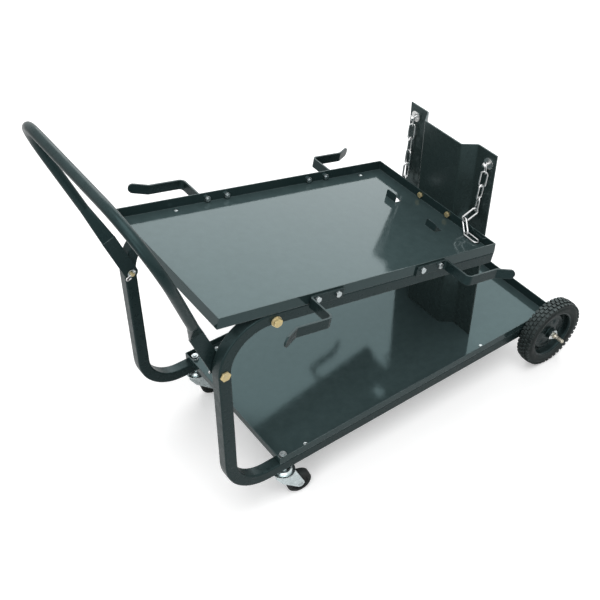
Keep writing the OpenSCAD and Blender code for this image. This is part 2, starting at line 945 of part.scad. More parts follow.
// Each link lies midway between two joints, with its own roll
module chain(joints, rolls) {
    for (i = [0:len(rolls) - 1]) {
        way = unit(joints[i + 1] - joints[i]);
        translate((joints[i] + joints[i + 1]) / 2)
        rotate([0, acos(-way[2]), atan2(-way[1], -way[0])])
        rotate([0, 0, rolls[i] - atan2(-way[1], -way[0])])
        oval_link(link_l, link_w, link_wire);
    }
}

// A chain and the snap link that it hangs from
module hung_chain(joints, rolls) {
    translate([snap_x, 0, snap_z])
    rotate([0, 0, snap_roll])
    oval_link(snap_in_l + 2 * snap_wire, snap_in_w + 2 * snap_wire, snap_wire);
    chain(joints, rolls);
}

module chain_near() {
    color("#b9c0c0")
    placed()
    translate([0, -stud_y, 0])
    hung_chain(near_joints, near_rolls);
}

module chain_far() {
    color("#b9c0c0")
    placed()
    translate([0, stud_y, 0])
    hung_chain(far_joints, far_rolls);
}

// Bolts of the hooks along the tray
function hook_bolt_places() = [front_hook_u, front_hook_u + hook_pitch, rear_hook_u - hook_pitch, rear_hook_u];

// Plan of a hook at the rear of the far side: base on the lip, leg outwards, arm and flared tip
function hook_path(bend_u) = rounded([[bend_u - hook_lead - hook_pitch - hook_base_end, 0], [bend_u, 0],
    [bend_u, hook_reach], [bend_u + hook_arm - hook_flare_l * cos(hook_flare), hook_reach],
    [bend_u + hook_arm, hook_reach + hook_flare_l * sin(hook_flare)]], hook_bend);

module hook() {
    tip = [hook_arm, hook_reach + hook_flare_l * sin(hook_flare)];
    difference() {
        translate([0, frame_w / 2, hook_n - hook_h / 2])
        linear_extrude(hook_h)
        strip(backwards(hook_path(0)), hook_t);
        translate([tip[0], frame_w / 2 + tip[1], hook_n])
        rotate([0, 0, hook_flare])
        translate([-hook_h / 2, -hook_h, 0])
        difference() {
            translate([0, 0, -hook_h])
            cube([2 * hook_h, 2 * hook_h, 2 * hook_h]);
            translate([0, -cut, 0])
            rod_y(hook_h / 2, 2 * hook_h + 2 * cut);
        }
        for (u = [-hook_lead, -hook_lead - hook_pitch]) {
            translate([u, frame_w / 2 - cut, hook_bolt_n])
            rod_y(bolt_d / 2 + fit_gap, hook_t + 2 * cut);
        }
    }
}

// Front hooks point at the handle and rear hooks at the wheels
module rear_hook() {
    in_tray()
    translate([rear_hook_u + hook_lead, 0, 0])
    hook();
}

module front_hook() {
    in_tray()
    translate([front_hook_u - hook_lead, 0, 0])
    mirror([1, 0, 0])
    hook();
}

module hook_front_near() {
    color("#2b3a3a")
    placed()
    mirror([0, 1, 0])
    front_hook();
}

module hook_front_far() {
    color("#2b3a3a")
    placed()
    front_hook();
}

module hook_rear_near() {
    color("#2b3a3a")
    placed()
    mirror([0, 1, 0])
    rear_hook();
}

module hook_rear_far() {
    color("#2b3a3a")
    placed()
    rear_hook();
}

module hook_bolts() {
    color("#9aa3a3")
    placed()
    both_sides()
    in_tray()
    for (u = hook_bolt_places()) {
        translate([u, frame_w / 2 + hook_t, hook_bolt_n])
        rotate([-90, 0, 0])
        bolt(bolt_d, bolt_af, bolt_head_h, hook_t + sheet + nut_h + bolt_past);
    }
}

module hook_nuts() {
    color("#9aa3a3")
    placed()
    both_sides()
    in_tray()
    for (u = hook_bolt_places()) {
        translate([u, frame_w / 2 - sheet, hook_bolt_n])
        rotate([90, 0, 0])
        nut(bolt_d, bolt_af, nut_h);
    }
}

// Axle under the lower rails, drilled for its split pins
washer_out = wheel_y + tyre_w - hub_out + run_gap;
split_y = washer_out + wheel_washer_t + split_wire / 2;
axle_end = split_y + axle_past;

module rear_axle() {
    color("#9aa3a3")
    placed()
    translate([axle_x, 0, tyre_r])
    difference() {
        translate([0, -axle_end, 0])
        rod_y(axle_r, 2 * axle_end);
        for (s = [-1, 1]) {
            translate([-axle_d, s * split_y, 0])
            rod_x(split_wire / 2 + fit_gap, 2 * axle_d);
        }
    }
}

// Straps welded under the rails that hold the axle
module axle_saddles() {
    color("#2b3a3a")
    placed()
    both_sides()
    translate([axle_x, rail_y - saddle_w / 2, tyre_r])
    difference() {
        union() {
            rod_y(axle_r + saddle_t, saddle_w);
            translate([-axle_r - saddle_t + saddle_step, 0, 0])
            cube([axle_d + 2 * saddle_t - 2 * saddle_step, saddle_w, rail_z - tyre_r]);
        }
        translate([0, -cut, 0])
        rod_y(axle_r + fit_gap / 2, saddle_w + 2 * cut);
        translate([-axle_r * mouth_share, -cut, 0])
        cube([axle_d * mouth_share, saddle_w + 2 * cut, axle_d]);
        translate([-axle_r - saddle_t - cut, -cut, rail_z - tyre_r])
        cube([axle_d + 2 * saddle_t + 2 * cut, saddle_w + 2 * cut, axle_d]);
    }
}

// Half outline of the tyre's section, with its width along the second axis
tyre_body_h = tyre_r - tread_h - rim_r;
tyre_outline = [for (p = tyre_section_shares) [rim_r + p[0] * tyre_body_h, p[1] * tyre_w / 2]];

// One row of tread blocks as a toothed ring, flat over each block
module tread_row(r, w, start) {
    half = 180 / blocks * block_share;
    base = tyre_r - 2 * tread_h;
    linear_extrude(w)
    difference() {
        polygon([for (i = [0:blocks - 1]) each
            let (a = start + i * 360 / blocks)
            [base * [cos(a - 180 / blocks * (1 - block_share) - half), sin(a - 180 / blocks * (1 - block_share) - half)],
                base / cos(half) * [cos(a - half), sin(a - half)],
                r / cos(half) * [cos(a - half), sin(a - half)],
                r / cos(half) * [cos(a + half), sin(a + half)],
                base / cos(half) * [cos(a + half), sin(a + half)]]]);
        circle(r = base - 2 * tread_h);
    }
}

// Tyre standing with its middle at zero and its axis along Y
module tyre() {
    row_w = (tyre_w - (rows + 1) * row_gap) / rows;
    rotate([-90, 0, 0])
    difference() {
        union() {
            rotate_extrude()
            polygon(concat(tyre_outline, [for (p = backwards(tyre_outline)) [p[0], -p[1]]]));
            for (i = [0:rows - 1]) {
                outer = i == 0 || i == rows - 1;
                translate([0, 0, -tyre_w / 2 + row_gap + i * (row_w + row_gap)])
                tread_row(outer ? tyre_r - shoulder_drop : tyre_r, row_w, (i % 2) * 180 / blocks);
            }
        }
        translate([0, 0, -tyre_w])
        cylinder(r = rim_r, h = 2 * tyre_w);
    }
}

module tyre_near() {
    color("#1b1f1f")
    placed()
    translate([axle_x, -wheel_mid, tyre_r])
    tyre();
}

module tyre_far() {
    color("#1b1f1f")
    placed()
    translate([axle_x, wheel_mid, tyre_r])
    mirror([0, 1, 0])
    tyre();
}

// Rim on the far side, its outside facing up in its own frame: a barrel, a dished disc and a hub
module rim() {
    half = rim_half_share * tyre_w / 2;
    rotate([-90, 0, 0])
    difference() {
        rotate_extrude()
        polygon([[axle_r + fit_gap, -tyre_w / 2 + hub_in], [hub_r, -tyre_w / 2 + hub_in],
            [hub_r, -rim_wall + dish_out], [rim_r - 3 * rim_wall, -rim_wall - dish_out],
            [rim_r - 2 * rim_wall, -half + rim_lip], [rim_r - 2 * rim_wall, -half], [rim_r, -half],
            [rim_r, half], [rim_r - 2 * rim_wall, half], [rim_r - 2 * rim_wall, half - rim_lip],
            [rim_r - 3 * rim_wall, -dish_out], [hub_r, dish_out],
            [hub_r, tyre_w / 2 - hub_out], [axle_r + fit_gap, tyre_w / 2 - hub_out]]);
        for (i = [0:rim_holes - 1]) {
            rotate([0, 0, i * 360 / rim_holes])
            translate([(hub_r + rim_r - 3 * rim_wall) / 2, 0, -tyre_w / 2])
            cylinder(r = rim_hole_r, h = tyre_w);
        }
    }
}

module rim_far() {
    color("#20282a")
    placed()
    translate([axle_x, wheel_mid, tyre_r])
    rim();
}

module rim_near() {
    color("#20282a")
    placed()
    translate([axle_x, -wheel_mid, tyre_r])
    mirror([0, 1, 0])
    rim();
}

module wheel_washers() {
    color("#b9c0c0")
    placed()
    both_sides()
    translate([axle_x, washer_out, tyre_r])
    rotate([-90, 0, 0])
    ring(wheel_washer_r, axle_r + fit_gap, wheel_washer_t);
}

// Split pins through the axle's ends, with an eye and one leg bent round the axle
module split_pins() {
    color("#b9c0c0")
    placed()
    both_sides()
    translate([axle_x, split_y, tyre_r]) {
        translate([-axle_r - split_wire, 0, 0])
        rod_x(split_wire / 2, axle_d + 2 * split_wire);
        translate([-axle_r - split_wire - split_eye_r, 0, 0])
        rotate([90, 0, 0])
        rotate_extrude()
        translate([split_eye_r, 0])
        circle(d = split_wire);
        translate([axle_r + split_wire, 0, -axle_r])
        cylinder(d = split_wire, h = axle_r);
        translate([axle_r + split_wire, 0, 0])
        sphere(d = split_wire);
    }
}

// Caster stems: a head under the yoke's crown, the stem, and its place through rail and tray
module caster_stems() {
    color("#9aa3a3")
    placed()
    both_sides()
    translate([caster_x, rail_y, 0]) {
        translate([0, 0, crown_z - run_gap - stem_head_h])
        cylinder(r = stem_head_r, h = stem_head_h);
        translate([0, 0, crown_z - run_gap - thin])
        cylinder(r = stem_r, h = plate_z + stem_washer_t + stem_nut_h + stem_past - crown_z + run_gap + thin);
    }
}

module caster_nuts() {
    color("#9aa3a3")
    placed()
    both_sides()
    translate([caster_x, rail_y, plate_z]) {
        ring(stem_washer_r, stem_r + fit_gap, stem_washer_t);
        translate([0, 0, stem_washer_t])
        nut(stem_d, stem_nut_af, stem_nut_h);
    }
}

// Fixed race cups and spacers between the yokes and the rails
module caster_races() {
    race_z = crown_z + yoke_t + run_gap;
    color("#b9c0c0")
    placed()
    both_sides()
    translate([caster_x, rail_y, 0])
    rotate_extrude()
    polygon([[stem_r + fit_gap, race_z], [race_r, race_z], [race_r, race_z + race_cup_h / 2],
        [race_r - race_slant, race_z + race_cup_h], [spacer_r, race_z + race_cup_h],
        [spacer_r, rail_z], [stem_r + fit_gap, rail_z]]);
}

// The caster's own frame: X along its trail, Z up, on the stem's axis
module at_caster(s) {
    translate([caster_x, s * rail_y, 0])
    rotate([0, 0, caster_turn])
    children();
}

// Side plate of the yoke: wide under the crown, narrow round the axle
module yoke_side() {
    back = sqrt(pow(crown_r, 2) - pow(yoke_y + yoke_t, 2));
    polygon([[-back, crown_z], [back, crown_z],
        [caster_trail + yoke_axle_r * cos(30), caster_r + yoke_axle_r / 2],
        [caster_trail + yoke_axle_r / 2, caster_r - yoke_axle_r * cos(30)],
        [caster_trail - yoke_axle_r / 2, caster_r - yoke_axle_r * cos(30)],
        [-back / 3, crown_z - heel_drop], [-back, crown_z - back / 3]]);
    translate([caster_trail, caster_r])
    circle(r = yoke_axle_r);
}

module caster_yoke(s) {
    color("#b9c0c0")
    placed()
    at_caster(s) {
        translate([0, 0, crown_z])
        ring(crown_r, stem_r + fit_gap, yoke_t);
        for (y = [-yoke_y - yoke_t, yoke_y]) {
            translate([0, y + yoke_t, 0])
            rotate([90, 0, 0])
            linear_extrude(yoke_t)
            difference() {
                yoke_side();
                translate([caster_trail, caster_r])
                circle(r = rivet_r + fit_gap);
            }
        }
    }
}

module caster_yoke_near() {
    caster_yoke(-1);
}

module caster_yoke_far() {
    caster_yoke(1);
}

module caster_rivet(s) {
    color("#9aa3a3")
    placed()
    at_caster(s)
    translate([caster_trail, 0, caster_r]) {
        translate([0, -yoke_y - yoke_t - thin, 0])
        rod_y(rivet_r, 2 * (yoke_y + yoke_t + thin));
        for (y = [0, 1]) {
            mirror([0, y, 0])
            translate([0, yoke_y + yoke_t, 0])
            rotate([-90, 0, 0])
            cylinder(r1 = rivet_head_r, r2 = rivet_head_r / 2, h = rivet_head_h);
        }
    }
}

module caster_rivet_near() {
    caster_rivet(-1);
}

module caster_rivet_far() {
    caster_rivet(1);
}

module caster_wheel(s) {
    color("#171a1a")
    placed()
    at_caster(s)
    translate([caster_trail, 0, caster_r])
    rotate([-90, 0, 0])
    rotate_extrude()
    polygon([[rivet_r + fit_gap, -caster_w / 2 - caster_hub_past],
        [caster_hub_r, -caster_w / 2 - caster_hub_past],
        [caster_hub_r, -caster_w / 2 + caster_dish], [caster_dish_r, -caster_w / 2 + caster_dish],
        [caster_dish_r, -caster_w / 2], [caster_r - caster_edge, -caster_w / 2],
        [caster_r, -caster_w / 2 + caster_edge], [caster_r, caster_w / 2 - caster_edge],
        [caster_r - caster_edge, caster_w / 2], [caster_dish_r, caster_w / 2],
        [caster_dish_r, caster_w / 2 - caster_dish], [caster_hub_r, caster_w / 2 - caster_dish],
        [caster_hub_r, caster_w / 2 + caster_hub_past],
        [rivet_r + fit_gap, caster_w / 2 + caster_hub_past]]);
}

module caster_wheel_near() {
    caster_wheel(-1);
}

module caster_wheel_far() {
    caster_wheel(1);
}

side_frame_near();
side_frame_far();
rail_plugs();
cross_tube();
cross_bolts();
upper_tray();
lower_tray();
tray_screws();
handle();
pivot_pins();
pivot_washers();
hairpin_clips();
bottle_plate();
plate_bolts();
plate_nuts();
foot_bolts();
foot_nuts();
chain_studs();
chain_near();
chain_far();
hook_front_near();
hook_front_far();
hook_rear_near();
hook_rear_far();
hook_bolts();
hook_nuts();
rear_axle();
axle_saddles();
tyre_near();
tyre_far();
rim_near();
rim_far();
wheel_washers();
split_pins();
caster_stems();
caster_nuts();
caster_races();
caster_yoke_near();
caster_yoke_far();
caster_rivet_near();
caster_rivet_far();
caster_wheel_near();
caster_wheel_far();
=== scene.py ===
"""Looks for a welding cart: paints, zinc, rubber, small trim, a plain studio and the camera."""
import json
import math
from functools import cached_property

import bmesh
import bpy
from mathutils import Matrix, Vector


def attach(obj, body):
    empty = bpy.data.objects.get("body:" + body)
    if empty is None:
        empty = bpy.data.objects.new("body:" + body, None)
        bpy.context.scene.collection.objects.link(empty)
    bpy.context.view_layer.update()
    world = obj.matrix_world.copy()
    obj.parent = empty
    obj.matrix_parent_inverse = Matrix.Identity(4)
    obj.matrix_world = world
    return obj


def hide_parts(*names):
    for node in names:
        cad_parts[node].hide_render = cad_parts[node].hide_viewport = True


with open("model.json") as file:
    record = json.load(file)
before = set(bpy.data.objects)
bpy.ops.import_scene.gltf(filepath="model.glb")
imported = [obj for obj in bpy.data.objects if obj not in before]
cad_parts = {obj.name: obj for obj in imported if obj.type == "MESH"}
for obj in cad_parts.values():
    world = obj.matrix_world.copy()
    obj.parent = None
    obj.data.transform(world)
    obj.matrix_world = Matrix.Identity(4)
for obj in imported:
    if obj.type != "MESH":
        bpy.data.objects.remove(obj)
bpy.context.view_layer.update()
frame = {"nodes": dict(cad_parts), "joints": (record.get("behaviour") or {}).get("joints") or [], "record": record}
nodes = frame["nodes"]
slot_of = {part["node"]: part["material_slot"] for part in frame["record"]["subparts"]}
joint_middles = {joint["name"]: joint["pos_m"] for joint in frame["joints"]}

# The camera stands where the photographer stood

CAMERA_PLACE = (-1.132915, -1.40287, 1.93736)
CAMERA_TURN = (math.radians(48.135), 0.0, math.radians(-35.645))
SENSOR_WIDTH = 36.0
FOCAL_LENGTH = 57.93

camera = bpy.data.objects.new("camera", bpy.data.cameras.new("camera"))
camera.location = CAMERA_PLACE
camera.rotation_euler = CAMERA_TURN
camera.data.sensor_width = SENSOR_WIDTH
camera.data.lens = FOCAL_LENGTH
bpy.context.scene.collection.objects.link(camera)
bpy.context.scene.camera = camera
bpy.context.scene.view_settings.view_transform = "Standard"

# A Mix node keeps its sockets for plain values and for colours at these places
FACTOR = 0
VALUE_A, VALUE_B, VALUE_OUT = 2, 3, 0
COLOUR_A, COLOUR_B, COLOUR_OUT = 6, 7, 2
# How alike the rounded and the flat normals are where an edge starts to show, and where it shows in full
EDGE_ALIKE = (0.995, 0.9)
# The upward part of a face's normal where dust, and on rubber a painted glare, starts to lie on it, and where it
# lies in full
DUST_SLOPE = (0.3, 0.95)
BEVEL_SAMPLES = 6


class Tree:
    """The nodes of a material or of the world, with short calls for making and joining them."""

    def __init__(self, owner, shader="Principled BSDF"):
        owner.use_nodes = True
        self.owner = owner
        self.nodes = owner.node_tree.nodes
        self.links = owner.node_tree.links
        self.shader = self.nodes[shader]

    @cached_property
    def place(self):
        """Where a point lies on its piece, in metres: one node that the whole tree shares."""
        return self.add("ShaderNodeTexCoord").outputs["Object"]

    def add(self, kind, **settings):
        made = self.nodes.new(kind)
        for key, value in settings.items():
            setattr(made, key, value)
        return made

    def put(self, socket, value):
        """A socket takes either another node's output or a plain value."""
        if isinstance(value, bpy.types.NodeSocket):
            self.links.new(value, socket)
        else:
            socket.default_value = value

    def put_all(self, made, values):
        """Each value goes to the node's socket of that name."""
        for key, value in values.items():
            self.put(made.inputs[key], value)

    def noise(self, scale, detail=3.0, rough=0.5, stretch=None):
        """Cloudy spots from 0 to 1, about scale of them to a metre; stretch makes streaks of them."""
        made = self.add("ShaderNodeTexNoise")
        place = self.place
        if stretch:
            mapping = self.add("ShaderNodeMapping")
            self.put_all(mapping, {"Vector": place, "Scale": stretch})
            place = mapping.outputs["Vector"]
        self.put_all(made, {"Vector": place, "Scale": scale, "Detail": detail, "Roughness": rough})
        return made.outputs["Fac"]

    def span(self, value, given, wanted=(0.0, 1.0), shape="LINEAR"):
        """Takes the pair of values in given to the pair in wanted; values outside stay at its ends."""
        made = self.add("ShaderNodeMapRange", clamp=True, interpolation_type=shape)
        self.put_all(made, {"Value": value, "From Min": given[0], "From Max": given[1],
                            "To Min": wanted[0], "To Max": wanted[1]})
        return made.outputs["Result"]

    def maths(self, operation, a, b):
        made = self.add("ShaderNodeMath", operation=operation)
        self.put(made.inputs[0], a)
        self.put(made.inputs[1], b)
        return made.outputs[0]

    def plus(self, a, b):
        return self.maths("ADD", a, b)

    def times(self, a, b):
        return self.maths("MULTIPLY", a, b)

    def mix(self, factor, a, b):
        """Colour a where the factor is 0 and colour b where it is 1."""
        made = self.add("ShaderNodeMix", data_type="RGBA")
        self.put(made.inputs[FACTOR], factor)
        for index, value in ((COLOUR_A, a), (COLOUR_B, b)):
            if not isinstance(value, bpy.types.NodeSocket):
                value = (*value, 1.0)
            self.put(made.inputs[index], value)
        return made.outputs[COLOUR_OUT]

    def rounded(self, radius):
        """The normal that the surface would have if its edges were rounded by that radius."""
        made = self.add("ShaderNodeBevel", samples=BEVEL_SAMPLES)
        self.put(made.inputs["Radius"], radius)
        return made.outputs["Normal"]

    def edges(self, soft):
        """1 on edges and corners, 0 on flat faces, where soft is the rounded normal."""
        flat = self.add("ShaderNodeNewGeometry").outputs["Normal"]
        alike = self.add("ShaderNodeVectorMath", operation="DOT_PRODUCT")
        self.put(alike.inputs[0], soft)
        self.put(alike.inputs[1], flat)
        return self.span(alike.outputs["Value"], EDGE_ALIKE)

    def up(self):
        """1 on faces that look up, 0 on walls."""
        flat = self.add("ShaderNodeNewGeometry").outputs["Normal"]
        parted = self.add("ShaderNodeSeparateXYZ")
        self.put(parted.inputs[0], flat)
        return self.span(parted.outputs["Z"], DUST_SLOPE)

    def bump(self, height, strength, distance, normal):
        made = self.add("ShaderNodeBump")
        self.put_all(made, {"Height": height, "Strength": strength, "Distance": distance, "Normal": normal})
        return made.outputs["Normal"]

    def by_ray(self, plain, kinds):
        """A strength of 1 for the kinds of ray that are named, and plain for all the others."""
        path = self.add("ShaderNodeLightPath")
        strength = plain
        for kind in kinds:
            made = self.add("ShaderNodeMix")
            self.put(made.inputs[FACTOR], path.outputs[kind])
            self.put(made.inputs[VALUE_A], strength)
            self.put(made.inputs[VALUE_B], 1.0)
            strength = made.outputs[VALUE_OUT]
        return strength

    def finish(self, looks):
        """Gives the shader its looks, by the names of its sockets, and returns the tree's owner."""
        self.put_all(self.shader, looks)
        return self.owner


# Paint: the colours of what lies on it and of its worn edges with their painted highlight, how much of that shows,
# and the tint of what it mirrors

PAINT_ROUND = 0.0018
PAINT_DUST = (0.12, 0.175, 0.18)
PAINT_SPECK, SPECK_SHARE = (0.15, 0.18, 0.18), 0.2
PAINT_WEAR_AND_HIGHLIGHT, WEAR_AND_HIGHLIGHT_SHARE = (0.20, 0.22, 0.22), 0.4
PAINT_TINT = (0.60, 0.98, 1.03, 1.0)
# How much thicker the dust lies in some spots than in others
DUST_SPREAD = 0.08
SCRATCH_STRETCH, SCRATCH_ROUGH = (1.0, 0.04, 0.3), 0.08
# How much higher the broad waves in the paint stand than its orange peel
WAVE_SHARE = 2.0


def paint(name, colour, pale, gloss, peel, film, mirror):
    """Sprayed gloss paint: orange peel, thin spots, a film of fine dust on top, and edges that are worn and made
    paler by a painted highlight.

    gloss is its lowest roughness, peel the scale of the orange peel, film how thick the dust lies
    and mirror how much it reflects.
    """
    tree = Tree(bpy.data.materials.new(name))
    soft = tree.rounded(PAINT_ROUND)
    broad = tree.noise(scale=3.5, detail=4.0, rough=0.55)
    fine = tree.noise(scale=42.0, detail=5.0, rough=0.6)
    shade = tree.mix(tree.span(broad, (0.3, 0.7)), colour, pale)
    speck = tree.span(tree.noise(scale=900.0, detail=2.0), (0.66, 0.78))
    dust = tree.times(tree.up(), tree.span(fine, (0.35, 0.75), (film, film + DUST_SPREAD)))
    shade = tree.mix(dust, shade, PAINT_DUST)
    shade = tree.mix(tree.times(speck, SPECK_SHARE), shade, PAINT_SPECK)
    # Edges are paler all along as a painted highlight, and paler still in worn spots.
    edge_strength = tree.span(tree.noise(scale=55.0, detail=4.0), (0.4, 0.72), (0.3, 1.0))
    wear_and_highlight = tree.times(tree.edges(soft), edge_strength)
    shade = tree.mix(tree.times(wear_and_highlight, WEAR_AND_HIGHLIGHT_SHARE), shade, PAINT_WEAR_AND_HIGHLIGHT)
    scratch = tree.span(tree.noise(scale=260.0, detail=2.0, stretch=SCRATCH_STRETCH), (0.68, 0.74))
    rough = tree.span(fine, (0.3, 0.75), (gloss, 2.0 * gloss + 0.02))
    rough = tree.plus(rough, tree.times(scratch, SCRATCH_ROUGH))
    height = tree.plus(tree.noise(scale=peel, detail=2.0), tree.times(broad, WAVE_SHARE))
    normal = tree.bump(height, strength=0.06, distance=0.0006, normal=soft)
    return tree.finish({"Base Color": shade, "Roughness": rough, "Normal": normal,
                        "Specular IOR Level": mirror, "Specular Tint": PAINT_TINT})


# Plated steel: the colours of its handling marks and of the painted highlight on its edges, and how much of that
# highlight shows

PLATED_ROUND = 0.0006
PLATED_GRIME = (0.16, 0.15, 0.13)
PLATED_EDGE_HIGHLIGHT, EDGE_HIGHLIGHT_SHARE = (0.86, 0.87, 0.86), 0.35


def plated(name, colour, other, low, high, grain, dull, metal=1.0):
    """Plated or drawn steel: blotches, fine grain, dull handling marks and edges made brighter by a painted
    highlight.

    low and high are the ends of its roughness, grain the scale of its grain, dull how thick the
    handling marks lie, and metal is below 1 for a film that scatters the light.
    """
    tree = Tree(bpy.data.materials.new(name))
    soft = tree.rounded(PLATED_ROUND)
    blotch = tree.noise(scale=70.0, detail=4.0, rough=0.6)
    shade = tree.mix(tree.span(blotch, (0.35, 0.68)), colour, other)
    grime = tree.span(tree.noise(scale=22.0, detail=5.0, rough=0.65), (0.5, 0.78), (0.0, dull))
    shade = tree.mix(grime, shade, PLATED_GRIME)
    # Painted highlight: the edges are made paler, as if they caught the light.
    shade = tree.mix(tree.times(tree.edges(soft), EDGE_HIGHLIGHT_SHARE), shade, PLATED_EDGE_HIGHLIGHT)
    rough = tree.span(tree.noise(scale=120.0), (0.3, 0.7), (low, high))
    height = tree.noise(scale=grain, rough=0.6)
    normal = tree.bump(height, strength=0.12, distance=0.0002, normal=soft)
    return tree.finish({"Base Color": shade, "Roughness": rough, "Normal": normal, "Metallic": metal})


# Rubber and plastic: the colours of dust with a painted glare on top, of scuffs and of pale spots, and how much
# rubber mirrors

MOULDED_ROUND = 0.0008
RUBBER_DUST_AND_GLARE = (0.12, 0.15, 0.15)
RUBBER_SCUFF = (0.10, 0.115, 0.11)
RUBBER_MIRROR = 0.15
PLASTIC_PALE = (0.04, 0.042, 0.042)


def rubber(name, colour, dusty, skin, film):
    """Moulded rubber with a fine skin, dust in patches, dust and a painted glare on top, and scuffed edges.

    skin is the scale of its skin, and film how thick the dust and the painted glare lie on top.
    """
    tree = Tree(bpy.data.materials.new(name))
    soft = tree.rounded(MOULDED_ROUND)
    patch = tree.noise(scale=26.0, detail=5.0, rough=0.62)
    shade = tree.mix(tree.span(patch, (0.4, 0.72), (0.0, 0.8)), colour, dusty)
    # Paler on top: dust, and on the tyre also a painted glare.
    dust_and_glare = tree.span(tree.noise(scale=60.0, detail=4.0), (0.3, 0.7), (0.5 * film, film))
    shade = tree.mix(tree.times(tree.up(), dust_and_glare), shade, RUBBER_DUST_AND_GLARE)
    edge_strength = tree.span(tree.noise(scale=90.0), (0.4, 0.65), (0.1, 0.6))
    shade = tree.mix(tree.times(tree.edges(soft), edge_strength), shade, RUBBER_SCUFF)
    rough = tree.span(patch, (0.3, 0.7), (0.42, 0.72))
    height = tree.noise(scale=skin, detail=4.0, rough=0.6)
    normal = tree.bump(height, strength=0.25, distance=0.0003, normal=soft)
    return tree.finish({"Base Color": shade, "Roughness": rough, "Normal": normal,
                        "Specular IOR Level": RUBBER_MIRROR})


def plastic(name, colour):
    """Black moulded plastic with a fine spark texture."""
    tree = Tree(bpy.data.materials.new(name))
    soft = tree.rounded(MOULDED_ROUND)
    shade = tree.mix(tree.span(tree.noise(scale=35.0, detail=4.0), (0.4, 0.7)), colour, PLASTIC_PALE)
    rough = tree.span(tree.noise(scale=60.0), (0.3, 0.7), (0.4, 0.6))
    height = tree.noise(scale=1500.0, detail=2.0)
    normal = tree.bump(height, strength=0.3, distance=0.0002, normal=soft)
    return tree.finish({"Base Color": shade, "Roughness": rough, "Normal": normal})


FINISHES = {
    "frame_paint": (paint, dict(colour=(0.007, 0.0155, 0.016), pale=(0.011, 0.020, 0.020),
                                gloss=0.2, peel=700.0, film=0.08, mirror=0.19)),
    "tray_paint": (paint, dict(colour=(0.014, 0.027, 0.027), pale=(0.018, 0.032, 0.033),
                               gloss=0.05, peel=500.0, film=0.22, mirror=0.3)),
    "plate_paint": (paint, dict(colour=(0.017, 0.027, 0.026), pale=(0.022, 0.033, 0.032),
                                gloss=0.18, peel=600.0, film=0.14, mirror=0.3)),
    "rim_paint": (paint, dict(colour=(0.005, 0.009, 0.009), pale=(0.008, 0.013, 0.013),
                              gloss=0.2, peel=800.0, film=0.1, mirror=0.2)),
    "plug_plastic": (plastic, dict(colour=(0.012, 0.013, 0.013))),
    "yellow_zinc": (plated, dict(colour=(0.60, 0.48, 0.22), other=(0.52, 0.44, 0.25),
                                 low=0.32, high=0.5, grain=500.0, dull=0.25, metal=0.5)),
    "zinc": (plated, dict(colour=(0.50, 0.55, 0.56), other=(0.42, 0.47, 0.48),
                          low=0.28, high=0.46, grain=600.0, dull=0.3)),
    "bright_wire": (plated, dict(colour=(0.74, 0.75, 0.75), other=(0.66, 0.66, 0.65),
                                 low=0.2, high=0.34, grain=500.0, dull=0.15)),
    "chain_zinc": (plated, dict(colour=(0.70, 0.71, 0.71), other=(0.58, 0.59, 0.59),
                                low=0.24, high=0.4, grain=450.0, dull=0.25)),
    "caster_zinc": (plated, dict(colour=(0.70, 0.78, 0.79), other=(0.58, 0.66, 0.67),
                                 low=0.2, high=0.36, grain=550.0, dull=0.25)),
    "axle_steel": (plated, dict(colour=(0.56, 0.53, 0.44), other=(0.44, 0.42, 0.36),
                                low=0.3, high=0.48, grain=500.0, dull=0.4)),
    # The tyre's high film is dust together with a painted glare on its top.
    "tyre": (rubber, dict(colour=(0.008, 0.012, 0.012), dusty=(0.020, 0.029, 0.028),
                          skin=900.0, film=0.7)),
    "caster_rubber": (rubber, dict(colour=(0.012, 0.014, 0.014), dusty=(0.030, 0.034, 0.033),
                                   skin=1100.0, film=0.15)),
}
SLOTS = {name: maker(name, **looks) for name, (maker, looks) in FINISHES.items()}
for name, node in nodes.items():
    node.data.materials.clear()
    node.data.materials.append(SLOTS[slot_of[name]])

# Turned pieces: their sections are points (radius, distance outwards) in millimetres

MM = 0.001
SHARP_FROM = math.radians(40.0)
SIDES = (("near", -1.0), ("far", 1.0))


def turned(name, section, middle, side, body, finish, steps):
    """Turns a closed section about an axis along Y.

    section gives the points for an angle, middle is where the distances outwards count from, and
    side is -1 or 1 and says which way outwards is.
    """
    solid = bmesh.new()
    rows = []
    for step in range(steps):
        angle = math.tau * step / steps
        across, upwards = math.cos(angle), math.sin(angle)
        rows.append([solid.verts.new((radius * MM * across, side * out * MM, radius * MM * upwards))
                     for radius, out in section(angle)])
    for row, following in zip(rows, rows[1:] + rows[:1]):
        for index, corner in enumerate(row):
            beyond = (index + 1) % len(row)
            solid.faces.new((corner, row[beyond], following[beyond], following[index]))
    bmesh.ops.recalc_face_normals(solid, faces=solid.faces)
    for face in solid.faces:
        face.smooth = True
    mesh = bpy.data.meshes.new(name)
    solid.to_mesh(mesh)
    solid.free()
    mesh.set_sharp_from_angle(angle=SHARP_FROM)
    mesh.materials.append(SLOTS[finish])
    made = bpy.data.objects.new(name, mesh)
    made.location = middle
    bpy.context.scene.collection.objects.link(made)
    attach(made, body)
    return made


# Pressed rims: a hub, a sheet disc with a round bead and dimples, and a lip that is the same both ways

